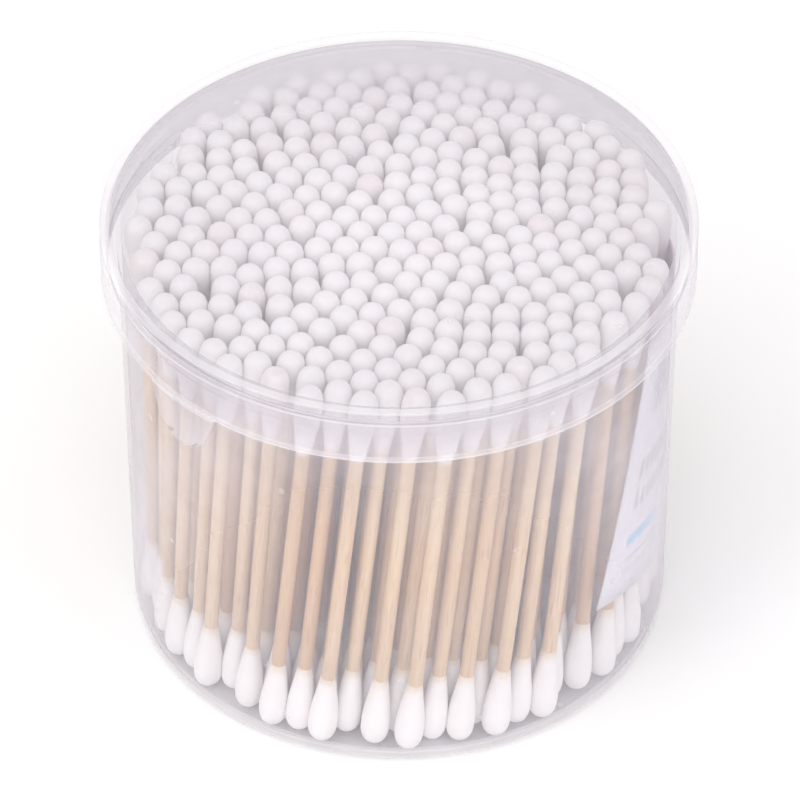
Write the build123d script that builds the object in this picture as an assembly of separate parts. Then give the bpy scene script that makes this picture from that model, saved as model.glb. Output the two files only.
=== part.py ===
"""A round snap-lid tub of wooden cotton swabs, in millimetres.

The frame: +Z is up, the origin is the middle of the foot that the tub stands on, -Y is the front.
The tub, the lid and the printed card are single pieces. Each swab is a stick with a bud of
wound cotton on either end. The swabs stand in the tub as a twisted bundle, each on its own
place in a dense round packing, and are filed into nodes by the ring of the packing they stand in.
"""

from build123d import *
import math
import os
import numpy as np

# ---- tub: a drafted thin-walled cup with a foot ring and a rim bead ----
TUB_RIM_HEIGHT = 76.3  # top of the rim above the foot
TUB_TOP_RADIUS = 44.3  # outside of the wall, just under the rim bead
TUB_BASE_RADIUS = 43.6  # outside of the wall, at the foot
TUB_WALL = 0.7
TUB_FLOOR = 1.0
TUB_BASE_FILLET = 2.0
TUB_FLOOR_FILLET = 1.0  # inside corner of the floor
FOOT_RING_WIDTH = 3.0
FOOT_RING_HEIGHT = 0.35  # how far the middle of the base is recessed
RIM_BEAD_PROUD = 1.2  # how far the bead stands out of the wall
RIM_BEAD_HEIGHT = 2.4
RIM_BEAD_FILLET = 0.6

# ---- lid: a plate with a raised edge, a skirt, a snap bead and a thumb tab ----
LID_RADIUS = 47.0
LID_PLATE = 1.0
LID_EDGE_RAISE = 0.4  # the raised edge above the plate
LID_EDGE_WIDTH = 1.3
LID_EDGE_FILLET = 0.35
LID_SKIRT_HEIGHT = 10.0  # from the raised edge's top to the skirt's lower edge
LID_SKIRT_WALL = 0.9
LID_SKIRT_FILLET = 0.3
LID_CLEARANCE = 0.1  # between the rim bead and the snap bead as it passes
SNAP_BEAD_HEIGHT = 1.6
SNAP_BEAD_GAP = 1.2  # between the underside of the rim bead and the snap bead
TAB_AZIMUTH = -46.0  # degrees from the front, towards +X
TAB_WIDTH = 14.0
TAB_DROP = 8.5  # below the skirt's lower edge
TAB_TIP_WIDTH = 6.0
TAB_FILLET = 2.0
TAB_WALL = 0.9
TAB_NUB_RADIUS = 0.8
TAB_NUB_HEIGHT = 0.35
TAB_NUB_DROP = 2.5  # the nub's centre below the skirt's lower edge

# ---- swab: a stick with two buds ----
SWAB_LENGTH = 75.0
STICK_RADIUS = 1.15
BUD_RADIUS = 2.15
BUD_LENGTH = 14.0
BUD_TIP_FLAT = 0.5  # radius of the flat at the very end
BUD_DOME = BUD_RADIUS - BUD_TIP_FLAT  # length of the rounded end
BUD_BARREL = 5.5  # from the end to where the bud starts to taper
BUD_WAIST = 10.0  # from the end to where the taper eases
BUD_WAIST_RADIUS = 1.68
BUD_NECK_WALL = 0.12  # cotton over the stick where the bud starts
BUD_END_COTTON = 1.5  # cotton beyond the stick's end
SOCKET_GAP = 0.08  # all round the stick in the bud

# ---- card: a thin printed card that leans between the swabs and the wall ----
CARD_WIDTH = 40.0
CARD_HEIGHT = 55.0
CARD_THICKNESS = 0.25
CARD_TILT = 13.3  # degrees, its top leaning towards +X as seen from outside
CARD_AZIMUTH = 83.0  # of its middle, degrees from the front, towards +X
CARD_MIDDLE_HEIGHT = 42.3
CARD_CORNER = 0.8
CARD_GAP = 0.05  # to the wall and to the buds

# ---- the bundle ----
SWAB_COUNT = 290
BUD_GAP = 0.07  # least gap between two neighbouring buds
FLOOR_GAP = 0.05
BUNDLE_TWIST = 10.5  # degrees that the tops are turned against the bottoms
BUNDLE_DISORDER = 1.7  # mm that a top may stray before the packing settles
PACKING_SEED = 7
PACKING_STEPS = 4000
RING_PITCH = 0.95 * 2 * BUD_RADIUS

GOLDEN_ANGLE = math.pi * (3 - math.sqrt(5))
OUT = "parts"


def wall_radius(height):
    """Outside radius of the tub's drafted wall at a height."""
    share = height / TUB_RIM_HEIGHT
    return TUB_BASE_RADIUS + (TUB_TOP_RADIUS - TUB_BASE_RADIUS) * share


def around(azimuth, radius, height):
    """The point at an azimuth in degrees from the front, a radius and a height."""
    angle = math.radians(azimuth)
    return (radius * math.sin(angle), -radius * math.cos(angle), height)


def facing(azimuth, radius, height):
    """A plane that faces outwards, with its own X running round the tub and its Y up."""
    angle = math.radians(azimuth)
    return Plane(
        origin=around(azimuth, radius, height),
        x_dir=(math.cos(angle), math.sin(angle), 0),
        z_dir=(math.sin(angle), -math.cos(angle), 0),
    )


def turned(points):
    """A solid of revolution about Z from a closed outline of (radius, height) points."""
    outline = make_face(Polyline(*[(r, 0, z) for r, z in points], close=True))
    return revolve(outline, Axis.Z)


def edges_at(solid, radius, height):
    """The solid's circular edges of a radius at a height."""
    return [
        e
        for e in solid.edges().filter_by(GeomType.CIRCLE)
        if abs(e.radius - radius) < 1e-4 and abs(e.center().Z - height) < 1e-4
    ]


def rim_radius():
    """Outside radius of the tub's rim bead."""
    return TUB_TOP_RADIUS + RIM_BEAD_PROUD


def make_tub():
    """The cup, with its foot ring and rim bead."""
    bead_foot = TUB_RIM_HEIGHT - RIM_BEAD_HEIGHT
    foot_inner = TUB_BASE_RADIUS - TUB_BASE_FILLET - FOOT_RING_WIDTH
    floor_radius = wall_radius(TUB_FLOOR) - TUB_WALL
    mouth_radius = TUB_TOP_RADIUS - TUB_WALL
    tub = turned(
        [
            (0, FOOT_RING_HEIGHT),
            (foot_inner, FOOT_RING_HEIGHT),
            (foot_inner, 0),
            (TUB_BASE_RADIUS, 0),
            (wall_radius(bead_foot), bead_foot),
            (rim_radius(), bead_foot),
            (rim_radius(), TUB_RIM_HEIGHT),
            (mouth_radius, TUB_RIM_HEIGHT),
            (floor_radius, TUB_FLOOR),
            (0, TUB_FLOOR),
        ]
    )
    tub = fillet(edges_at(tub, TUB_BASE_RADIUS, 0), TUB_BASE_FILLET)
    tub = fillet(edges_at(tub, floor_radius, TUB_FLOOR), TUB_FLOOR_FILLET)
    bead = edges_at(tub, rim_radius(), bead_foot) + edges_at(tub, rim_radius(), TUB_RIM_HEIGHT)
    return fillet(bead, RIM_BEAD_FILLET)


def tab_outline():
    """The thumb tab's outline on a plane whose Y zero is the skirt's lower edge."""
    root = TAB_WIDTH / 2
    tip = TAB_TIP_WIDTH / 2
    corners = [(-root, LID_SKIRT_WALL), (-root, 0), (-tip, -TAB_DROP), (tip, -TAB_DROP)]
    outline = make_face(Polyline(*corners, (root, 0), (root, LID_SKIRT_WALL), close=True))
    tips = [v for v in outline.vertices() if abs(v.Y + TAB_DROP) < 1e-6]
    return fillet(tips, TAB_FILLET)


def make_lid():
    """The lid, resting on the tub's rim."""
    underside = TUB_RIM_HEIGHT
    plate_top = underside + LID_PLATE
    edge_top = plate_top + LID_EDGE_RAISE
    skirt_foot = edge_top - LID_SKIRT_HEIGHT
    skirt_inner = LID_RADIUS - LID_SKIRT_WALL
    edge_inner = LID_RADIUS - LID_EDGE_WIDTH
    snap_radius = rim_radius() + LID_CLEARANCE
    snap_top = TUB_RIM_HEIGHT - RIM_BEAD_HEIGHT - SNAP_BEAD_GAP
    snap_foot = snap_top - SNAP_BEAD_HEIGHT
    snap_slope = skirt_inner - snap_radius
    lid = turned(
        [
            (0, underside),
            (skirt_inner, underside),
            (skirt_inner, snap_top),
            (snap_radius, snap_top - snap_slope),
            (snap_radius, snap_foot + snap_slope),
            (skirt_inner, snap_foot),
            (skirt_inner, skirt_foot),
            (LID_RADIUS, skirt_foot),
            (LID_RADIUS, edge_top),
            (edge_inner, edge_top),
            (edge_inner - LID_EDGE_RAISE, plate_top),
            (0, plate_top),
        ]
    )
    lid = fillet(edges_at(lid, LID_RADIUS, edge_top), LID_EDGE_FILLET)
    lid = fillet(edges_at(lid, LID_RADIUS, skirt_foot), LID_SKIRT_FILLET)

    band_height = TAB_DROP + LID_SKIRT_WALL
    band = Pos(0, 0, skirt_foot - TAB_DROP) * (
        Cylinder(LID_RADIUS, band_height, align=(Align.CENTER, Align.CENTER, Align.MIN))
        - Cylinder(LID_RADIUS - TAB_WALL, band_height, align=(Align.CENTER, Align.CENTER, Align.MIN))
    )
    root = facing(TAB_AZIMUTH, LID_RADIUS - TAB_WIDTH / 2, skirt_foot)
    tab = band & extrude(root * tab_outline(), TAB_WIDTH)
    nub_plane = facing(TAB_AZIMUTH, LID_RADIUS - TAB_WALL / 2, skirt_foot - TAB_NUB_DROP)
    nub = extrude(nub_plane * Circle(TAB_NUB_RADIUS), TAB_WALL / 2 + TAB_NUB_HEIGHT)
    return lid + tab + nub


def make_stick():
    """A plain round stick, upright, with its middle at the origin."""
    return Cylinder(STICK_RADIUS, SWAB_LENGTH - 2 * BUD_END_COTTON)


def make_bud():
    """The lower bud of an upright swab whose middle is at the origin, with the stick's socket."""
    end = -SWAB_LENGTH / 2
    socket = STICK_RADIUS + SOCKET_GAP
    bottom = (BUD_TIP_FLAT, 0, end)
    belly = (BUD_RADIUS, 0, end + BUD_DOME)
    reach = BUD_DOME * math.sqrt(0.5)
    halfway = (BUD_TIP_FLAT + reach, 0, end + BUD_DOME - reach)
    dome = ThreePointArc(bottom, halfway, belly)
    rest = Polyline(
        belly,
        (BUD_RADIUS, 0, end + BUD_BARREL),
        (BUD_WAIST_RADIUS, 0, end + BUD_WAIST),
        (socket + BUD_NECK_WALL, 0, end + BUD_LENGTH),
        (socket, 0, end + BUD_LENGTH),
        (socket, 0, end + BUD_END_COTTON - SOCKET_GAP),
        (0, 0, end + BUD_END_COTTON - SOCKET_GAP),
        (0, 0, end),
        bottom,
    )
    return revolve(make_face([dome, rest]), Axis.Z)


def settled(points, limit, spacing):
    """The points moved as little as it takes to stand at least spacing apart within a radius."""
    points = points.copy()
    apart = np.eye(len(points), dtype=bool)
    for _ in range(PACKING_STEPS):
        offsets = points[:, None] - points[None]
        gaps = np.linalg.norm(offsets, axis=2)
        gaps[apart] = np.inf
        short = np.clip(spacing * 1.004 - gaps, 0, None)
        points += 0.5 * np.sum(offsets / gaps[:, :, None] * short[:, :, None], axis=1)
        radii = np.linalg.norm(points, axis=1)
        points *= np.minimum(1, limit / np.maximum(radii, 1e-9))[:, None]
        if gaps.min() >= spacing and radii.max() <= limit:
            break
    return points


def bundle_places():
    """The places of the swabs' buds, as one array for the bottoms and one for the tops."""
    lean = math.radians(BUNDLE_TWIST)
    widest_tilt = math.atan(lean * TUB_BASE_RADIUS / SWAB_LENGTH)
    spacing = 2 * BUD_RADIUS / math.cos(widest_tilt) + BUD_GAP
    edge = TUB_WALL + CARD_THICKNESS + 3 * CARD_GAP + spacing / 2
    foot_limit = wall_radius(TUB_FLOOR) - edge
    head_limit = wall_radius(SWAB_LENGTH) - edge
    rng = np.random.default_rng(PACKING_SEED)
    order = np.arange(SWAB_COUNT) + 0.5
    radii = foot_limit * np.sqrt(order / SWAB_COUNT)
    start = np.stack([radii * np.cos(order * GOLDEN_ANGLE), radii * np.sin(order * GOLDEN_ANGLE)], 1)
    feet = settled(start, foot_limit, spacing)
    turn = np.array([[math.cos(lean), math.sin(lean)], [-math.sin(lean), math.cos(lean)]])
    strayed = feet @ turn + rng.uniform(-BUNDLE_DISORDER, BUNDLE_DISORDER, feet.shape)
    heads = settled(strayed, head_limit, spacing)
    return feet, heads


def swab_frames():
    """For each swab, its ring in the packing, from 1 at the wall, and its middle's location."""
    feet, heads = bundle_places()
    barrel = (BUD_DOME + BUD_BARREL) / 2  # the packing is at the middle of each bud's barrel
    span = SWAB_LENGTH - 2 * barrel
    widest = np.linalg.norm(feet, axis=1).max()
    found = []
    for foot, head in zip(feet, heads):
        across = head - foot
        rise = math.sqrt(span**2 - across @ across)
        axis = Vector(*across, rise).normalized()
        middle = (foot + head) / 2
        # the tilted dome's lowest point stands just above the floor
        sink = (barrel - BUD_DOME) * axis.Z + BUD_DOME + BUD_TIP_FLAT * math.hypot(axis.X, axis.Y)
        height = TUB_FLOOR + FLOOR_GAP + sink + rise / 2
        ring = 1 + int((widest - np.linalg.norm(foot)) / RING_PITCH)
        found.append((ring, Plane(origin=(*middle, height), z_dir=axis).location))
    return found


def make_card():
    """The card, curved to the inside of the wall."""
    low = TUB_FLOOR + TUB_FLOOR_FILLET
    outer = [wall_radius(z) - TUB_WALL - CARD_GAP for z in (low, TUB_RIM_HEIGHT)]
    sleeve = turned(
        [
            (outer[0], low),
            (outer[1], TUB_RIM_HEIGHT),
            (outer[1] - CARD_THICKNESS, TUB_RIM_HEIGHT),
            (outer[0] - CARD_THICKNESS, low),
        ]
    )
    radius = wall_radius(CARD_MIDDLE_HEIGHT)
    chord = 2 * radius * math.sin(CARD_WIDTH / 2 / radius)
    shape = Rot(0, 0, -CARD_TILT) * RectangleRounded(chord, CARD_HEIGHT, CARD_CORNER)
    cutter = extrude(facing(CARD_AZIMUTH, radius / 2, CARD_MIDDLE_HEIGHT) * shape, radius)
    return sleeve & cutter


def write(name, shapes):
    """Writes one node's solids to its STEP file."""
    solids = [s for shape in shapes for s in shape.solids()]
    export_step(Compound(solids), os.path.join(OUT, name + ".step"))
    print(name, len(solids))


def main():
    """Builds every piece and writes its node."""
    os.makedirs(OUT, exist_ok=True)
    write("tub", [make_tub()])
    write("lid", [make_lid()])
    write("card", [make_card()])
    stick = make_stick().solid()
    lower_bud = make_bud().solid()
    upper_bud = lower_bud.mirror(Plane.XY)
    kinds = {"sticks": stick, "lower_buds": lower_bud, "upper_buds": upper_bud}
    frames = swab_frames()
    for ring in sorted({number for number, _ in frames}):
        places = [place for number, place in frames if number == ring]
        for kind, solid in kinds.items():
            write(f"{kind}_ring_{ring:02d}", [solid.moved(place) for place in places])


main()
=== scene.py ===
"""Looks of a round snap-lid tub of wooden cotton swabs.

Every length is in metres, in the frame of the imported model: +Z up, -Y to the front, the foot at Z 0.
"""

import logging
import math
import random
from collections.abc import Iterable, Mapping, Sequence
from dataclasses import dataclass
from enum import Enum

import bmesh
import bpy
import numpy as np
from mathutils import Matrix, Vector, noise


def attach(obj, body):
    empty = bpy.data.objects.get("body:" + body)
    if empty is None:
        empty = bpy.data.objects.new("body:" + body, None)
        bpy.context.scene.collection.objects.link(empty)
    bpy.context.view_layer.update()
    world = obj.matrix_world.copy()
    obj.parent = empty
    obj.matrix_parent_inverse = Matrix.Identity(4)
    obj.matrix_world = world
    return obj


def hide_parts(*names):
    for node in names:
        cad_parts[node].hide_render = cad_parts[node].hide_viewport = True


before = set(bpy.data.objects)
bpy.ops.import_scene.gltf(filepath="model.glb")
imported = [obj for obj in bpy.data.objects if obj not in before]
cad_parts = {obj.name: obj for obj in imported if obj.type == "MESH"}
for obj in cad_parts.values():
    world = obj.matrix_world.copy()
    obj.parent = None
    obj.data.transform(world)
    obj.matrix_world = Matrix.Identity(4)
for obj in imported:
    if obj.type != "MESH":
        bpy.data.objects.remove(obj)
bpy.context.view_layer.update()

LOG = logging.getLogger("swab_tub")
MM = 0.001
WELD = 1e-7  # how near two points of a spun shell lie to be one
ON_EDGE = 1e-6  # how near a point lies to the round edge that it belongs to
STICK_WELD = 1e-6  # how near two points of a stick lie to be one
SPOT_CORE, SPOT_RIM = 0.12, 0.32  # of a speck, in shares of its cell
Colour = tuple[float, float, float]
Socket = bpy.types.NodeSocket
Value = bpy.types.NodeSocket | float


class BudEnd(Enum):
    """The end of a swab that a bud sits on: its sign along the stick."""

    LOWER = -1
    UPPER = 1


# ---------------------------------------------------------------- mesh helpers


def spun(outline: Sequence[tuple[float, float]], sides: int) -> bmesh.types.BMesh:
    """Spins an outline about Z into a closed shell.

    Args:
        outline: (radius, height) points, from the axis to the axis.
        sides: sides of the finished round.

    Returns:
        The shell, with its poles merged and its faces outwards.
    """
    shell = bmesh.new()
    points = [shell.verts.new((radius, 0, height)) for radius, height in outline]
    lines = [shell.edges.new(pair) for pair in zip(points, points[1:])]
    bmesh.ops.spin(
        shell,
        geom=points + lines,
        cent=(0, 0, 0),
        axis=(0, 0, 1),
        angle=math.tau,
        steps=sides,
        use_merge=True,
        use_duplicate=False,
    )
    bmesh.ops.remove_doubles(shell, verts=shell.verts, dist=WELD)
    bmesh.ops.recalc_face_normals(shell, faces=shell.faces)
    return shell


def soften(
    shell: bmesh.types.BMesh, radius: float, height: float, width: float, segments: int = 4
) -> None:
    """Bevels the round edge of a spun shell that runs at a radius and a height.

    Args:
        shell: the spun shell.
        radius: the edge's distance from the axis.
        height: the edge's height.
        width: how far the bevel reaches.
        segments: steps across the bevel.
    """

    def on_edge(vertex: bmesh.types.BMVert) -> bool:
        """Whether a vertex is on the round edge."""
        off = abs(vertex.co.xy.length - radius) + abs(vertex.co.z - height)
        return off < ON_EDGE

    ring = [edge for edge in shell.edges if all(on_edge(vertex) for vertex in edge.verts)]
    bmesh.ops.bevel(
        shell,
        geom=ring,
        offset=width,
        offset_type="OFFSET",
        segments=segments,
        profile=0.5,
        affect="EDGES",
        clamp_overlap=True,
        material=-1,
    )


def as_mesh(name: str, shape: bmesh.types.BMesh) -> bpy.types.Mesh:
    """Turns a modelled shape into a mesh, and frees the shape."""
    mesh = bpy.data.meshes.new(name)
    shape.to_mesh(mesh)
    shape.free()
    return mesh


def in_scene(name: str, data: bpy.types.ID) -> bpy.types.Object:
    """Puts a mesh, a lamp or a camera in the scene as an object."""
    thing = bpy.data.objects.new(name, data)
    bpy.context.scene.collection.objects.link(thing)
    return thing


def finished(
    name: str,
    shell: bmesh.types.BMesh,
    finish: bpy.types.Material,
    body: str,
    nodes: Iterable[str],
) -> bpy.types.Object:
    """Turns a modelled shell into a piece of the object.

    Args:
        name: the piece's name.
        shell: its modelled shape, which is freed.
        finish: its material.
        body: the body that it moves with.
        nodes: the CAD nodes that it stands for.

    Returns:
        The piece.
    """
    mesh = as_mesh(name, shell)
    mesh.shade_smooth()
    mesh.materials.append(finish)
    piece = in_scene(name, mesh)
    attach(piece, body)
    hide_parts(*nodes)
    LOG.info("%s: %d faces, on %s", name, len(mesh.polygons), body)
    return piece


def subdivided(piece: bpy.types.Object, levels: int) -> None:
    """Smooths a piece with subdivision of so many levels."""
    smoothing = piece.modifiers.new("smooth", "SUBSURF")
    smoothing.levels = levels
    smoothing.render_levels = levels


# ------------------------------------------------------------ material helpers


class Nodes:
    """A node tree that is written one short line per node."""

    def __init__(self, tree: bpy.types.NodeTree) -> None:
        """Takes the tree to write in."""
        self.tree = tree

    def add(self, kind: str, settings: dict | None = None, **inputs: object) -> bpy.types.Node:
        """Adds a node.

        Args:
            kind: the node's Blender type.
            settings: the node's own properties.
            inputs: values or sockets, by input name with _ for a space.

        Returns:
            The node.
        """
        node = self.tree.nodes.new(kind)
        for key, value in (settings or {}).items():
            setattr(node, key, value)
        self.set(node, **inputs)
        return node

    def set(self, node: bpy.types.Node, **inputs: object) -> None:
        """Links or sets a node's inputs, by name with _ for a space."""
        for key, value in inputs.items():
            self.feed(node.inputs[key.replace("_", " ")], value)

    def feed(self, socket: Socket, value: object) -> None:
        """Links a socket to an input, or sets its value."""
        if isinstance(value, bpy.types.NodeSocket):
            self.tree.links.new(value, socket)
        elif isinstance(value, tuple) and len(value) == 3 and socket.type == "RGBA":
            socket.default_value = (*value, 1)
        else:
            socket.default_value = value

    def math(
        self, operation: str, first: Value, second: Value = 0.0, clamp: bool = False
    ) -> Socket:
        """A Math node's result."""
        node = self.add("ShaderNodeMath", {"operation": operation, "use_clamp": clamp})
        self.feed(node.inputs[0], first)
        self.feed(node.inputs[1], second)
        return node.outputs[0]

    def span(
        self, value: Value, low: float, high: float, start: float = 0.0, end: float = 1.0
    ) -> Socket:
        """A value from low to high made to run smoothly from start to end."""
        node = self.add("ShaderNodeMapRange", {"interpolation_type": "SMOOTHSTEP"})
        for index, fed in enumerate((value, low, high, start, end)):
            self.feed(node.inputs[index], fed)
        return node.outputs[0]

    def blend(self, share: Value, first: Socket | Colour, second: Socket | Colour) -> Socket:
        """Two colours mixed by a share."""
        node = self.add("ShaderNodeMix", {"data_type": "RGBA"})
        for index, fed in ((0, share), (6, first), (7, second)):
            self.feed(node.inputs[index], fed)
        return node.outputs[2]

    def noise(
        self, place: Socket, scale: Value, detail: float, distortion: float = 0.0
    ) -> Socket:
        """A noise mask at a place."""
        node = self.add("ShaderNodeTexNoise", Vector=place, Scale=scale)
        self.set(node, Detail=detail, Distortion=distortion)
        return node.outputs[0]

    def group(self, shared: bpy.types.NodeTree, **inputs: object) -> Socket:
        """A shared effect's result for its values."""
        return self.add("ShaderNodeGroup", {"node_tree": shared}, **inputs).outputs[0]

    def scaled(self, place: Socket, scale: tuple[float, float, float]) -> Socket:
        """A place stretched by a factor along each axis."""
        return self.add("ShaderNodeMapping", Vector=place, Scale=scale).outputs[0]

    def place(self) -> Socket:
        """The place on the piece, in metres."""
        return self.add("ShaderNodeTexCoord").outputs["Object"]

    def attribute(self, name: str) -> Socket:
        """A number that the mesh keeps at each vertex."""
        return self.add("ShaderNodeAttribute", {"attribute_name": name}).outputs["Fac"]

    def uv(self, name: str) -> Socket:
        """The place on a named UV map."""
        return self.add("ShaderNodeUVMap", {"uv_map": name}).outputs[0]

    def bump(self, height: Socket, strength: float, depth: float) -> Socket:
        """A normal that rises and falls with a height."""
        return self.add("ShaderNodeBump", Strength=strength, Distance=depth, Height=height).outputs[0]


def new_group(
    name: str, inputs: dict[str, float | None], output: str
) -> tuple[bpy.types.NodeTree, Nodes, Mapping[str, Socket], Socket]:
    """Starts a shared effect that gives one number.

    Args:
        name: the effect's name.
        inputs: starting value, by name, which is None for a place.
        output: the result's name.

    Returns:
        The group, its nodes, its inputs and its result.
    """
    tree = bpy.data.node_groups.new(name, "ShaderNodeTree")
    for label, value in inputs.items():
        kind = "NodeSocketVector" if value is None else "NodeSocketFloat"
        socket = tree.interface.new_socket(label, in_out="INPUT", socket_type=kind)
        if value is not None:
            socket.default_value = value
    tree.interface.new_socket(output, in_out="OUTPUT", socket_type="NodeSocketFloat")
    start = tree.nodes.new("NodeGroupInput")
    end = tree.nodes.new("NodeGroupOutput")
    return tree, Nodes(tree), start.outputs, end.inputs[output]


def make_speckle() -> bpy.types.NodeTree:
    """Scattered specks of dust, as a mask.

    Returns:
        The shared effect.
    """
    tree, nodes, given, mask = new_group("speckle", {"Vector": None, "Size": 1 * MM, "Share": 0.1}, "Mask")
    cells = nodes.add(
        "ShaderNodeTexVoronoi",
        {"feature": "F1"},
        Vector=given["Vector"],
        Scale=nodes.math("DIVIDE", 1.0, given["Size"]),
        Randomness=1.0,
    )
    chance = nodes.add("ShaderNodeSeparateColor", Color=cells.outputs["Color"]).outputs[0]
    picked = nodes.math("LESS_THAN", chance, given["Share"])
    spot = nodes.span(cells.outputs["Distance"], SPOT_CORE, SPOT_RIM, 1.0, 0.0)
    nodes.feed(mask, nodes.math("MULTIPLY", picked, spot))
    return tree


def make_mottle() -> bpy.types.NodeTree:
    """Broad and fine unevenness, as a value round a half.

    Returns:
        The shared effect.
    """
    tree, nodes, given, value = new_group("mottle", {"Vector": None, "Broad": 40.0, "Fine": 900.0}, "Value")
    shares = []
    for label, detail, share in (("Broad", 2.0, 0.6), ("Fine", 4.0, 0.4)):
        mask = nodes.noise(given["Vector"], given[label], detail)
        shares.append(nodes.math("MULTIPLY", mask, share))
    nodes.feed(value, nodes.math("ADD", *shares))
    return tree


def make_print_block() -> bpy.types.NodeTree:
    """A rectangle of ink on a card's own UV, as a mask.

    Returns:
        The shared effect.
    """
    labels = ("U", "V", "Left", "Right", "Low", "High", "Soft")
    tree, nodes, given, mask = new_group("print block", dict.fromkeys(labels, 0.0), "Mask")
    bands = []
    for along, low, high in (("U", "Left", "Right"), ("V", "Low", "High")):
        insides = (
            nodes.math("SUBTRACT", given[along], given[low]),
            nodes.math("SUBTRACT", given[high], given[along]),
        )
        sides = [nodes.math("DIVIDE", inside, given["Soft"], clamp=True) for inside in insides]
        bands.append(nodes.math("MULTIPLY", *sides))
    nodes.feed(mask, nodes.math("MULTIPLY", *bands))
    return tree


SPECKLE = make_speckle()
MOTTLE = make_mottle()
PRINT_BLOCK = make_print_block()


def new_material(name: str) -> tuple[bpy.types.Material, Nodes, bpy.types.Node]:
    """Starts a material.

    Returns:
        The material, its nodes and its Principled BSDF.
    """
    made = bpy.data.materials.new(name)
    made.use_nodes = True
    nodes = Nodes(made.node_tree)
    return made, nodes, made.node_tree.nodes["Principled BSDF"]


# -------------------------------------------------------------------- finishes


@dataclass(frozen=True)
class FrostedPlastic:
    """Thin milky polypropylene that shows what is behind it, more faintly at a slant."""

    name: str
    tint: Colour = (0.735, 0.69, 0.745)
    # colour of the moulded edges: partly the paler thick plastic, partly painted highlight and painted
    # light over shade
    edge_highlight_tint: Colour = (0.93, 0.91, 0.94)
    paler: float = 1.06  # the factor on the tint in the paler clouds
    veil: float = 0.055  # how much one face hides, seen square on
    full_veil: float = 0.21  # and at most, away from the sides
    slant_veil: float = 0.35  # that the sides add, seen along the surface
    edge_highlight_veil: float = 0.15  # that a moulded edge adds: partly thicker plastic, partly painted light
    dust_veil: float = 0.20
    streak_veil: float = 0.008
    cloudiness: float = 0.08  # the share by which the veil thins and thickens
    edges: tuple[tuple[float, float], ...] = ()  # (height, reach) of each moulded edge that is painted paler and milkier, partly as thicker plastic and partly as painted light
    roughness: float = 0.45
    refraction: float = 1.49
    gloss: float = 0.35
    dust_size: float = 2.6 * MM
    dust_share: float = 0.010
    ripple: float = 0.2 * MM

    def veiled(self, nodes: Nodes) -> Socket:
        """How much clean plastic hides: least square on, most along the surface."""
        slant = nodes.add("ShaderNodeLayerWeight", Blend=0.34).outputs["Facing"]
        near = nodes.span(slant, 0.0, 0.5, self.veil, self.full_veil)
        return nodes.math("ADD", near, nodes.span(slant, 0.55, 1.0, 0.0, self.slant_veil))

    def highlit_edges(self, nodes: Nodes, place: Socket) -> Value:
        """Where the moulded edges are painted paler and milkier: partly thick plastic, partly painted
        highlight and painted light over shade.
        """
        height = nodes.add("ShaderNodeSeparateXYZ", Vector=place).outputs[2]
        edge_highlight: Value = 0.0
        for middle, reach in self.edges:
            away = nodes.math("ABSOLUTE", nodes.math("SUBTRACT", height, middle))
            edge = nodes.span(away, reach / 2, reach, 1.0, 0.0)
            edge_highlight = nodes.math("ADD", edge_highlight, edge, clamp=True)
        return edge_highlight

    def marked(self, nodes: Nodes, place: Socket) -> Socket:
        """How much the dust and the fine moulding streaks hide."""
        dust = nodes.group(SPECKLE, Vector=place, Size=self.dust_size, Share=self.dust_share)
        grain = nodes.noise(nodes.scaled(place, (260.0, 260.0, 2200.0)), 1.0, 2.0, 0.4)
        streaks = nodes.math("MULTIPLY", nodes.span(grain, 0.66, 0.76), self.streak_veil)
        return nodes.math("ADD", streaks, nodes.math("MULTIPLY", dust, self.dust_veil))

    def material(self) -> bpy.types.Material:
        """Builds the material.

        Returns:
            The material.
        """
        made, nodes, skin = new_material(self.name)
        place = nodes.place()
        uneven = nodes.group(MOTTLE, Vector=place, Broad=55.0, Fine=240.0)
        cloud = nodes.span(uneven, 0.35, 0.65, 1 - self.cloudiness, 1 + self.cloudiness)
        # painted highlight along the edges and painted light over shade, partly thicker plastic: a paler
        # colour and more veil in bands
        edge_highlight = self.highlit_edges(nodes, place)
        edge = nodes.math("MULTIPLY", edge_highlight, self.edge_highlight_veil)
        added = nodes.math("ADD", self.marked(nodes, place), edge)
        hidden = nodes.math("MULTIPLY", self.veiled(nodes), cloud)
        pale = tuple(min(1.0, channel * self.paler) for channel in self.tint)
        milky = nodes.blend(uneven, self.tint, pale)
        nodes.set(
            skin,
            Base_Color=nodes.blend(edge_highlight, milky, self.edge_highlight_tint),
            Roughness=nodes.span(uneven, 0.3, 0.7, self.roughness * 0.8, self.roughness * 1.3),
            Alpha=nodes.math("ADD", hidden, added, clamp=True),
            IOR=self.refraction,
            Specular_IOR_Level=self.gloss,
            Normal=nodes.bump(uneven, 0.05, self.ripple),
        )
        return made


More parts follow.
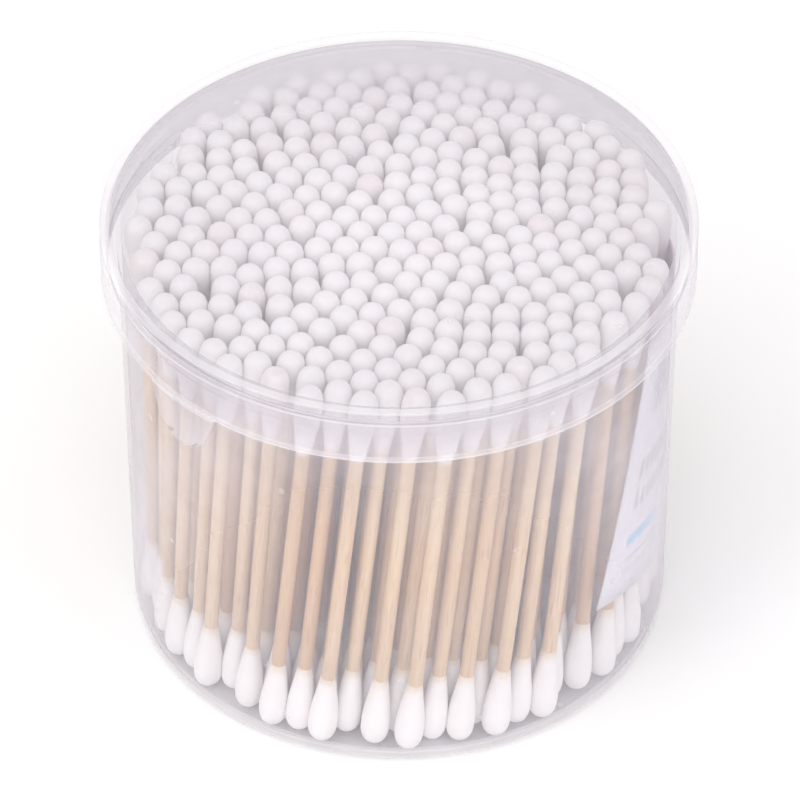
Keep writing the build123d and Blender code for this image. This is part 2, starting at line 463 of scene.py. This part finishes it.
@dataclass(frozen=True)
class Cotton:
    """Wound cotton: soft, matt, fibrous, with a few buds that are a little pink."""

    name: str = "wound_cotton"
    clean: Colour = (0.94, 0.915, 0.92)
    blush: Colour = (0.87, 0.79, 0.79)
    dull: Colour = (0.80, 0.77, 0.76)  # towards which its surface varies
    wood_showing: Colour = (0.82, 0.68, 0.51)  # of the stick, through the thin cotton at the neck
    fibre_depth: float = 0.12 * MM
    glow_depth: float = 2 * MM  # how far light wanders in the cotton
    glow: float = 0.45

    def material(self) -> bpy.types.Material:
        """Builds the material.

        Returns:
            The material.
        """
        made, nodes, skin = new_material(self.name)
        place, tone = nodes.place(), nodes.attribute("tone")
        uneven = nodes.group(MOTTLE, Vector=place, Broad=350.0, Fine=2600.0)
        strands = nodes.noise(nodes.scaled(place, (1500.0, 1500.0, 500.0)), 1.0, 4.0, 1.2)
        blushing = nodes.math("MULTIPLY", nodes.span(tone, 0.84, 1.06), nodes.span(uneven, 0.35, 0.6))
        ground = nodes.blend(blushing, self.clean, self.blush)
        shaded = nodes.blend(nodes.span(uneven, 0.3, 0.7, 0.0, 0.10), ground, self.dull)
        wisps = nodes.math("ADD", nodes.attribute("neck"), nodes.math("MULTIPLY", strands, 0.22))
        thin = nodes.span(wisps, 0.93, 1.13, 0.0, 0.75)
        height = nodes.math(
            "ADD", nodes.math("MULTIPLY", uneven, 0.7), nodes.math("MULTIPLY", strands, 0.5)
        )
        nodes.set(
            skin,
            Base_Color=nodes.blend(thin, shaded, self.wood_showing),
            Roughness=0.95,
            Specular_IOR_Level=0.15,
            Sheen_Weight=0.25,
            Sheen_Roughness=0.6,
            Subsurface_Weight=self.glow,
            Subsurface_Radius=(1.0, 0.85, 0.8),
            Subsurface_Scale=self.glow_depth,
            Normal=nodes.bump(height, 0.40, self.fibre_depth),
        )
        return made


@dataclass(frozen=True)
class Birch:
    """Plain birch, with fine grain along the stick and a tone of its own for each stick."""

    name: str = "birch_stick"
    pale: Colour = (0.86, 0.67, 0.45)
    tan: Colour = (0.70, 0.46, 0.27)
    grain: Colour = (0.50, 0.30, 0.17)
    grain_depth: float = 0.08 * MM
    tone_spread: float = 37.0  # how far apart in the grain two sticks of unlike tone lie

    def material(self) -> bpy.types.Material:
        """Builds the material.

        Returns:
            The material.
        """
        made, nodes, skin = new_material(self.name)
        tone = nodes.attribute("tone")
        offset = nodes.add("ShaderNodeCombineXYZ", Z=nodes.math("MULTIPLY", tone, self.tone_spread))
        moved = nodes.add("ShaderNodeVectorMath", {"operation": "ADD"})
        nodes.feed(moved.inputs[0], nodes.scaled(nodes.uv("along"), (9.0, 5.0, 1.0)))
        nodes.feed(moved.inputs[1], offset.outputs[0])
        lines = nodes.noise(moved.outputs[0], 3.0, 4.0, 0.3)
        patches = nodes.noise(moved.outputs[0], 0.6, 2.0)
        ground = nodes.blend(nodes.span(tone, 0.1, 0.95), self.pale, self.tan)
        toned = nodes.blend(nodes.span(patches, 0.35, 0.7, 0.0, 0.45), ground, self.tan)
        nodes.set(
            skin,
            Base_Color=nodes.blend(nodes.span(lines, 0.52, 0.72, 0.0, 0.5), toned, self.grain),
            Roughness=nodes.span(lines, 0.3, 0.7, 0.55, 0.8),
            Specular_IOR_Level=0.3,
            Normal=nodes.bump(lines, 0.4, self.grain_depth),
        )
        return made


class Ink(Enum):
    """The card's inks."""

    LILAC = (0.80, 0.60, 0.78)
    GREY = (0.34, 0.34, 0.38)
    BLUE = (0.25, 0.60, 0.88)


@dataclass(frozen=True)
class PrintBlock:
    """A block of ink: where it is on the card in shares of its width and height, and how strong."""

    ink: Ink
    left: float
    right: float
    low: float
    high: float
    strength: float
    soft: float = 0.004  # the width over which its ink fades out
    stroke_pitch: float = 0.0  # of the upright strokes that it is broken into, if any
    stroke_share: float = 0.55  # of the pitch that a stroke fills


@dataclass(frozen=True)
class PrintedCard:
    """White card with plain blocks and strokes of ink."""

    name: str = "printed_card"
    board: Colour = (0.78, 0.78, 0.86)
    worn: Colour = (0.84, 0.83, 0.86)
    blocks: tuple[PrintBlock, ...] = (
        PrintBlock(Ink.LILAC, -0.2, 1.2, 0.80, 1.5, 0.85, 0.12),
        PrintBlock(Ink.GREY, 0.14, 0.45, 0.60, 0.79, 0.85, 0.01, 0.045),
        PrintBlock(Ink.GREY, 0.09, 0.80, 0.400, 0.465, 0.75, 0.004, 0.055),
        PrintBlock(Ink.GREY, 0.10, 0.74, 0.300, 0.360, 0.75, 0.004, 0.055),
        PrintBlock(Ink.BLUE, 0.10, 0.40, 0.170, 0.218, 1.0, 0.012),
        PrintBlock(Ink.GREY, 0.12, 0.80, 0.120, 0.131, 0.6, 0.003),
        PrintBlock(Ink.GREY, 0.12, 0.70, 0.080, 0.091, 0.6, 0.003),
    )
    paper_depth: float = 0.05 * MM

    def inked(self, nodes: Nodes, u: Socket, v: Socket, block: PrintBlock) -> Socket:
        """How strong a block's ink is at a place on the card."""
        mask = nodes.group(
            PRINT_BLOCK,
            U=u,
            V=v,
            Left=block.left,
            Right=block.right,
            Low=block.low,
            High=block.high,
            Soft=block.soft,
        )
        if block.stroke_pitch:
            phase = nodes.math("FRACT", nodes.math("DIVIDE", u, block.stroke_pitch))
            stroke = nodes.math("LESS_THAN", phase, block.stroke_share)
            mask = nodes.math("MULTIPLY", mask, stroke)
        return nodes.math("MULTIPLY", mask, block.strength)

    def material(self) -> bpy.types.Material:
        """Builds the material.

        Returns:
            The material.
        """
        made, nodes, skin = new_material(self.name)
        split = nodes.add("ShaderNodeSeparateXYZ", Vector=nodes.uv("card"))
        u, v = split.outputs[0], split.outputs[1]
        uneven = nodes.group(MOTTLE, Vector=nodes.place(), Broad=90.0, Fine=2200.0)
        colour = nodes.blend(nodes.span(uneven, 0.3, 0.7, 0.0, 0.2), self.board, self.worn)
        for block in self.blocks:
            colour = nodes.blend(self.inked(nodes, u, v, block), colour, block.ink.value)
        nodes.set(
            skin,
            Base_Color=colour,
            Roughness=nodes.span(uneven, 0.3, 0.7, 0.42, 0.55),
            Normal=nodes.bump(uneven, 0.1, self.paper_depth),
        )
        return made


# ---------------------------------------------------------------- sub-assemblies


@dataclass
class Tub:
    """The drafted cup with its foot ring and rim bead."""

    rim_height: float = 76.3 * MM
    top_radius: float = 44.3 * MM
    base_radius: float = 43.6 * MM
    wall: float = 0.7 * MM
    floor: float = 1.0 * MM
    foot_inner: float = 38.6 * MM
    foot_height: float = 0.35 * MM
    bead_radius: float = 45.5 * MM
    bead_height: float = 2.4 * MM
    foot_round: float = 2.0 * MM
    floor_round: float = 1.0 * MM
    bead_round: float = 0.6 * MM
    lip_round: float = 0.2 * MM
    sides: int = 192

    def outer_radius(self, height: float) -> float:
        """The drafted wall's outer radius at a height."""
        share = height / self.rim_height
        return self.base_radius + (self.top_radius - self.base_radius) * share

    def build(self, finish: bpy.types.Material) -> bpy.types.Object:
        """Models the tub.

        Args:
            finish: its plastic.

        Returns:
            The tub's piece.
        """
        bead_foot = self.rim_height - self.bead_height
        floor_radius = self.base_radius - self.wall
        shell = spun(
            [
                (0, self.foot_height),
                (self.foot_inner, self.foot_height),
                (self.foot_inner, 0),
                (self.base_radius, 0),
                (self.top_radius, bead_foot),
                (self.bead_radius, bead_foot),
                (self.bead_radius, self.rim_height),
                (self.top_radius - self.wall, self.rim_height),
                (floor_radius, self.floor),
                (0, self.floor),
            ],
            self.sides,
        )
        soften(shell, self.base_radius, 0, self.foot_round, 6)
        soften(shell, floor_radius, self.floor, self.floor_round)
        soften(shell, self.bead_radius, bead_foot, self.bead_round)
        soften(shell, self.bead_radius, self.rim_height, self.bead_round)
        soften(shell, self.top_radius - self.wall, self.rim_height, self.lip_round, 2)
        return finished("tub_cup", shell, finish, "tub", ["tub"])


@dataclass
class Lid:
    """The snap lid: a recessed plate in a raised edge, a skirt with a snap bead, and a thumb tab."""

    radius: float = 47.0 * MM
    underside: float = 76.3 * MM
    plate: float = 1.0 * MM
    edge_raise: float = 0.4 * MM
    edge_width: float = 1.3 * MM
    skirt_height: float = 10.0 * MM
    skirt_wall: float = 0.9 * MM
    snap_radius: float = 45.6 * MM
    snap_top: float = 72.7 * MM
    snap_height: float = 1.6 * MM
    tab_azimuth: float = math.radians(-46.0)
    tab_half_width: float = 7.0 * MM
    tab_tip_half_width: float = 3.6 * MM
    tab_drop: float = 8.5 * MM
    tab_plate: float = 0.81 * MM
    tab_round: float = 0.22 * MM
    taper_power: float = 1.2  # of the way that the tab narrows as it hangs
    corner_start: float = 0.66  # of the drop, where the tip's corners begin to round off
    corner_inset: float = 0.28  # of the tip's half width
    tip_bow: float = 0.10  # of the drop, by which the tip's ends are shorter
    nub: float = 0.25 * MM  # how far it swells outwards under the thumb
    nub_drop: float = 0.35  # of the drop, down to the nub's middle
    nub_reach: tuple[float, float] = (0.35, 0.16)  # across and down, in shares of the tab
    top_round: float = 0.35 * MM
    recess_round: float = 0.25 * MM
    skirt_round: float = 0.3 * MM
    mouth_round: float = 0.2 * MM
    sides: int = 192

    @property
    def top(self) -> float:
        """Height of the raised edge's top."""
        return self.underside + self.plate + self.edge_raise

    @property
    def skirt_foot(self) -> float:
        """Height of the skirt's lower edge."""
        return self.top - self.skirt_height

    def build(self, finish: bpy.types.Material) -> bpy.types.Object:
        """Models the lid's plate, edge and skirt.

        Args:
            finish: its plastic.

        Returns:
            The lid's piece.
        """
        inner = self.radius - self.skirt_wall
        edge_inner = self.radius - self.edge_width
        plate_top = self.underside + self.plate
        foot = self.skirt_foot
        slope = inner - self.snap_radius
        snap_foot = self.snap_top - self.snap_height
        shell = spun(
            [
                (0, self.underside),
                (inner, self.underside),
                (inner, self.snap_top),
                (self.snap_radius, self.snap_top - slope),
                (self.snap_radius, snap_foot + slope),
                (inner, snap_foot),
                (inner, foot),
                (self.radius, foot),
                (self.radius, self.top),
                (edge_inner, self.top),
                (edge_inner - self.edge_raise, plate_top),
                (0, plate_top),
            ],
            self.sides,
        )
        soften(shell, self.radius, self.top, self.top_round)
        soften(shell, edge_inner, self.top, self.recess_round, 3)
        soften(shell, self.radius, foot, self.skirt_round)
        soften(shell, inner, foot, self.mouth_round, 2)
        return finished("lid_cover", shell, finish, "lid", ["lid"])

    def on_tab(self, across: float, down: float) -> Vector:
        """A place on the middle of the tab's thickness.

        Args:
            across: from -1 at the tab's left edge to 1 at its right.
            down: from 0 at the skirt to 1 at the tip.

        Returns:
            The place.
        """
        half = self.tab_half_width
        half += (self.tab_tip_half_width - self.tab_half_width) * down**self.taper_power
        corner = max(0.0, (down - self.corner_start) / (1 - self.corner_start))
        half *= 1 - self.corner_inset * corner**3
        drop = down * self.tab_drop * (1 - self.tip_bow * across**4 * corner)
        middle = self.radius - self.skirt_wall / 2
        azimuth = self.tab_azimuth + across * half / middle
        wide, tall = self.nub_reach
        swell = math.exp(-((across / wide) ** 2 + ((down - self.nub_drop) / tall) ** 2))
        reach = middle + self.nub * swell
        return Vector((reach * math.sin(azimuth), -reach * math.cos(azimuth), self.skirt_foot - drop))

    def build_tab(self, finish: bpy.types.Material) -> bpy.types.Object:
        """Models the thumb tab that hangs from the skirt's lower edge.

        Args:
            finish: its plastic.

        Returns:
            The tab's piece.
        """
        flap = bmesh.new()
        bmesh.ops.create_grid(flap, x_segments=14, y_segments=12, size=1.0)
        for vertex in flap.verts:
            vertex.co = self.on_tab(vertex.co.x, (1 - vertex.co.y) / 2)
        bmesh.ops.recalc_face_normals(flap, faces=flap.faces)
        outward = Vector((math.sin(self.tab_azimuth), -math.cos(self.tab_azimuth), 0))
        if sum(face.normal.dot(outward) for face in flap.faces) < 0:
            bmesh.ops.reverse_faces(flap, faces=flap.faces)
        tab = finished("lid_thumb_tab", flap, finish, "lid", ["lid"])
        plate = tab.modifiers.new("plate", "SOLIDIFY")
        plate.thickness = self.tab_plate
        plate.offset = 0
        rounding = tab.modifiers.new("edges", "BEVEL")
        rounding.width = self.tab_round
        rounding.segments = 3
        return tab


@dataclass
class Swab:
    """One swab's stick: its middle, the direction of its upper end, and its own tone and turn."""

    middle: Vector
    upwards: Vector
    tone: float
    turn: float

    def placed(self, squeeze: float = 1.0, flip: int = 1) -> Matrix:
        """The matrix from an upright swab at the origin to this one.

        Args:
            squeeze: factor on the thickness.
            flip: -1 to turn it upside down.

        Returns:
            The matrix.
        """
        lean = (self.upwards * flip).to_track_quat("Z", "Y").to_matrix().to_4x4()
        spin = Matrix.Rotation(self.turn, 4, "Z")
        size = Matrix.Diagonal((squeeze, squeeze, 1, 1))
        return Matrix.Translation(self.middle) @ lean @ spin @ size


@dataclass
class SwabBundle:
    """The swabs of the tub, filed by the ring of the packing that they stand in."""

    length: float = 75.0 * MM
    stick_radius: float = 1.15 * MM
    stick_length: float = 72.0 * MM
    bud_length: float = 14.0 * MM
    stick_sides: int = 14
    bud_sides: int = 10
    bud_squeeze: tuple[float, float] = (0.96, 1.02)  # the range of factors on a bud's thickness
    lump: float = 0.045 * MM  # how far a bud's surface strays
    lumps_per_metre: float = 420.0
    lump_spread: float = 90.0  # how far apart in the lumps two buds of unlike tone lie
    seed: int = 11
    # distance from the end and radius, in mm, from the pole to the stick
    bud_outline: tuple[tuple[float, float], ...] = (
        (0.0, 0.0),
        (0.08, 1.25),
        (0.85, 2.15),
        (2.5, 2.55),
        (5.2, 2.52),
        (8.0, 2.14),
        (11.0, 1.66),
        (13.4, 1.34),
        (14.0, 1.16),
        (13.8, 0.0),
    )

    def rings(self) -> list[str]:
        """The numbers of the packing's rings, as the CAD nodes have them."""
        return sorted(name[-2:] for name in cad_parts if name.startswith("sticks_ring_"))

    def swabs(self, ring: str) -> list[Swab]:
        """Reads where a ring's swabs stand from the CAD sticks.

        Args:
            ring: the ring's number.

        Returns:
            The ring's swabs, each with its own tone and turn.
        """
        draw = random.Random(self.seed + int(ring))
        sticks = bmesh.new()
        sticks.from_mesh(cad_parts[f"sticks_ring_{ring}"].data)
        bmesh.ops.remove_doubles(sticks, verts=sticks.verts, dist=STICK_WELD)
        left = set(sticks.verts)
        found = []
        while left:
            island, edge = [], [left.pop()]
            while edge:
                vertex = edge.pop()
                island.append(tuple(vertex.co))
                near = {link.other_vert(vertex) for link in vertex.link_edges} & left
                left -= near
                edge.extend(near)
            points = np.array(island)
            middle = (points.max(0) + points.min(0)) / 2
            high = points[points[:, 2] > middle[2]].mean(0)
            low = points[points[:, 2] <= middle[2]].mean(0)
            found.append((tuple((high + low) / 2), tuple(high - low)))
        sticks.free()
        found.sort(key=lambda stick: (round(stick[0][0], 5), round(stick[0][1], 5)))
        swabs = []
        for middle, upwards in found:
            tone, turn = draw.random(), draw.uniform(0, math.tau)
            swabs.append(Swab(Vector(middle), Vector(upwards).normalized(), tone, turn))
        return swabs

    def stick_shape(self) -> bpy.types.Mesh:
        """One upright stick at the origin, with a UV that runs along it.

        Returns:
            The shape.
        """
        shape = bmesh.new()
        bmesh.ops.create_cone(
            shape,
            cap_ends=True,
            segments=self.stick_sides,
            radius1=self.stick_radius,
            radius2=self.stick_radius,
            depth=self.stick_length,
        )
        along = shape.loops.layers.uv.new("along")
        for face in shape.faces:
            middle = face.calc_center_median()
            facing = math.atan2(middle.y, middle.x)
            for loop in face.loops:
                angle = math.atan2(loop.vert.co.y, loop.vert.co.x)
                around = facing + math.remainder(angle - facing, math.tau)
                loop[along].uv = (around / math.tau, loop.vert.co.z / self.stick_length)
        return as_mesh("stick_shape", shape)

    def bud_shape(self) -> bpy.types.Mesh:
        """One bud about Z, as on the upper end of an upright swab at the origin.

        Returns:
            The shape.
        """
        end = self.length / 2
        outline = [(radius * MM, end - depth * MM) for depth, radius in self.bud_outline]
        return as_mesh("bud_shape", spun(outline, self.bud_sides))

    def copies(
        self, shape: bpy.types.Mesh, places: Sequence[tuple[Matrix, float]], lump: float
    ) -> bmesh.types.BMesh:
        """Copies a shape to many places, each with its own tone and unevenness.

        Args:
            shape: the shape to copy.
            places: the matrix and the tone of each copy.
            lump: how far a copy's surface strays.

        Returns:
            The copies. Their vertices keep the tone, and the share of the way to the bud's neck.
        """
        whole = bmesh.new()
        tones = whole.verts.layers.float.new("tone")
        necks = whole.verts.layers.float.new("neck")
        for place, tone in places:
            start = len(whole.verts)
            whole.from_mesh(shape)
            whole.verts.ensure_lookup_table()
            added = whole.verts[start:]
            for vertex in added:
                vertex[necks] = min(1.0, (self.length / 2 - vertex.co.z) / self.bud_length)
            bmesh.ops.transform(whole, matrix=place, verts=added)
            for vertex in added:
                vertex[tones] = tone
                if lump:
                    spot = vertex.co * self.lumps_per_metre + Vector((tone, 0, 0)) * self.lump_spread
                    vertex.co += noise.noise_vector(spot) * lump
        return whole

    def build(self, wood: bpy.types.Material, cotton: bpy.types.Material) -> None:
        """Models every ring's sticks and buds.

        Args:
            wood: the sticks' finish.
            cotton: the buds' finish.
        """
        stick, bud = self.stick_shape(), self.bud_shape()
        for ring in self.rings():
            swabs = self.swabs(ring)
            places = [(swab.placed(), swab.tone) for swab in swabs]
            shell = self.copies(stick, places, 0)
            finished(f"swab_sticks_{ring}", shell, wood, "tub", [f"sticks_ring_{ring}"])
            for end in BudEnd:
                draw = random.Random(self.seed * 100 + int(ring) * 2 + end.value)
                places = []
                for swab in swabs:
                    squeeze = draw.uniform(*self.bud_squeeze)
                    places.append((swab.placed(squeeze, end.value), draw.random()))
                shell = self.copies(bud, places, self.lump)
                label = end.name.lower()
                node = f"{label}_buds_ring_{ring}"
                piece = finished(f"cotton_{label}_{ring}", shell, cotton, "tub", [node])
                subdivided(piece, 1)
        for shape in (stick, bud):
            bpy.data.meshes.remove(shape)


@dataclass
class Card:
    """The thin printed card that leans between the swabs and the wall."""

    width: float = 40.0 * MM
    height: float = 55.0 * MM
    thickness: float = 0.25 * MM
    tilt: float = math.radians(13.3)
    azimuth: float = math.radians(83.0)
    middle_height: float = 42.3 * MM
    clearance: float = 0.05 * MM

    def build(self, tub: Tub, finish: bpy.types.Material) -> bpy.types.Object:
        """Models the card against the inside of the tub's wall.

        Args:
            tub: the tub that it stands in.
            finish: its print.

        Returns:
            The card's piece.
        """
        sheet = bmesh.new()
        bmesh.ops.create_grid(sheet, x_segments=28, y_segments=12, size=1.0)
        uv = sheet.loops.layers.uv.new("card")
        for face in sheet.faces:
            for loop in face.loops:
                loop[uv].uv = ((loop.vert.co.x + 1) / 2, (loop.vert.co.y + 1) / 2)
        wall_radius = tub.outer_radius(self.middle_height)
        chord = wall_radius * math.sin(self.width / 2 / wall_radius)
        lean = Matrix.Rotation(-self.tilt, 2)
        for vertex in sheet.verts:
            flat = lean @ Vector((vertex.co.x * chord, vertex.co.y * self.height / 2))
            height = self.middle_height + flat.y
            reach = tub.outer_radius(height) - tub.wall - self.clearance - self.thickness / 2
            azimuth = self.azimuth + math.asin(flat.x / reach)
            vertex.co = (reach * math.sin(azimuth), -reach * math.cos(azimuth), height)
        bmesh.ops.recalc_face_normals(sheet, faces=sheet.faces)
        card = finished("printed_card", sheet, finish, "tub", ["card"])
        board = card.modifiers.new("board", "SOLIDIFY")
        board.thickness = self.thickness
        board.offset = 0
        return card


@dataclass(frozen=True)
class Softbox:
    """A square soft light that faces the tub: where it hangs, its side, its watts and its colour."""

    name: str
    place: tuple[float, float, float]
    side: float
    watts: float
    tint: Colour


@dataclass
class Studio:
    """The pale floor, the soft lights and the camera."""

    aim: Vector = Vector((0.16 * MM, 0, 39.0 * MM))
    elevation: float = math.radians(39.82)
    distance: float = 0.940  # from the middle of the lid's top
    lens: float = 269.8
    sensor: float = 36.0
    sight: float = 20.0
    floor_size: float = 3.0
    floor_tones: tuple[Colour, Colour] = ((0.93, 0.93, 0.93), (0.95, 0.95, 0.95))
    air_tint: Colour = (1.0, 0.995, 1.0)
    air_strength: float = 0.62
    softboxes: tuple[Softbox, ...] = (
        Softbox("softbox_top", (-0.15, -0.10, 1.10), 1.1, 5.4, (1.0, 0.985, 0.98)),
        Softbox("softbox_left", (-0.90, -0.65, 0.70), 0.8, 4.0, (1.0, 0.98, 0.97)),
        Softbox("softbox_right", (0.95, -0.60, 0.60), 0.8, 3.2, (0.99, 0.97, 1.0)),
        Softbox("softbox_front", (0.05, -1.30, 0.45), 0.9, 4.4, (1.0, 0.98, 0.975)),
    )

    def face(self, thing: bpy.types.Object, place: Sequence[float]) -> None:
        """Puts a light or the camera at a place and turns it to the tub."""
        thing.location = place
        thing.rotation_euler = (self.aim - Vector(place)).to_track_quat("-Z", "Y").to_euler()

    def build_floor(self) -> None:
        """Lays the floor."""
        made, nodes, skin = new_material("studio_floor")
        uneven = nodes.noise(nodes.place(), 6.0, 2.0)
        nodes.set(skin, Base_Color=nodes.blend(uneven, *self.floor_tones), Roughness=0.9)
        ground = bmesh.new()
        bmesh.ops.create_grid(ground, x_segments=2, y_segments=2, size=self.floor_size / 2)
        mesh = as_mesh("studio_floor", ground)
        mesh.materials.append(made)
        floor = in_scene("studio_floor", mesh)

    def hang(self, softbox: Softbox) -> None:
        """Hangs a softbox that faces the tub."""
        lamp = bpy.data.lights.new(softbox.name, "AREA")
        lamp.size = softbox.side
        lamp.energy = softbox.watts
        lamp.color = softbox.tint
        self.face(in_scene(softbox.name, lamp), softbox.place)

    def fill_air(self) -> None:
        """Fills the studio with even light."""
        world = bpy.data.worlds.new("studio_air")
        world.use_nodes = True
        air = world.node_tree.nodes["Background"]
        Nodes(world.node_tree).set(air, Color=self.air_tint, Strength=self.air_strength)
        bpy.context.scene.world = world

    def set_camera(self, lid_top: float) -> None:
        """Sets up the camera.

        Args:
            lid_top: the height that its distance is measured from.
        """
        lens = bpy.data.cameras.new("camera")
        lens.lens = self.lens
        lens.sensor_width = self.sensor
        lens.clip_end = self.sight
        camera = in_scene("camera", lens)
        away = Vector((0, -math.cos(self.elevation), math.sin(self.elevation)))
        self.face(camera, Vector((0, 0, lid_top)) + away * self.distance)
        bpy.context.scene.camera = camera

    def build(self, lid_top: float) -> None:
        """Sets up the studio round a tub whose lid's top is at a height."""
        self.build_floor()
        for softbox in self.softboxes:
            self.hang(softbox)
        self.fill_air()
        self.set_camera(lid_top)
        bpy.context.scene.view_settings.view_transform = "Standard"


def main() -> None:
    """Builds the tub, its lid, its swabs, its card and the studio."""
    logging.basicConfig(level=logging.INFO, format="%(name)s %(message)s")
    tub, lid = Tub(), Lid()
    # painted light over the shade round the tub's foot and floor, partly thicker plastic
    base_painted_light_edges = ((0.0, 2.6 * MM), (2.0 * MM, 1.2 * MM))
    # painted highlights along the skirt's lower edge and the two lines at the lid's top, partly thicker
    # plastic
    lid_highlight_edges = (
        (lid.skirt_foot, 0.7 * MM),
        (lid.top, 0.35 * MM),
        (lid.top - 2.4 * MM, 0.25 * MM),
    )
    tub_plastic = FrostedPlastic("frosted_tub", edges=base_painted_light_edges)
    lid_plastic = FrostedPlastic(
        "frosted_lid", veil=0.17, full_veil=0.22, slant_veil=0.30, edges=lid_highlight_edges
    )
    tub.build(tub_plastic.material())
    lid_finish = lid_plastic.material()
    lid.build(lid_finish)
    lid.build_tab(lid_finish)
    SwabBundle().build(Birch().material(), Cotton().material())
    Card().build(tub, PrintedCard().material())
    Studio().build(lid.top)


if __name__ == "__main__":
    main()
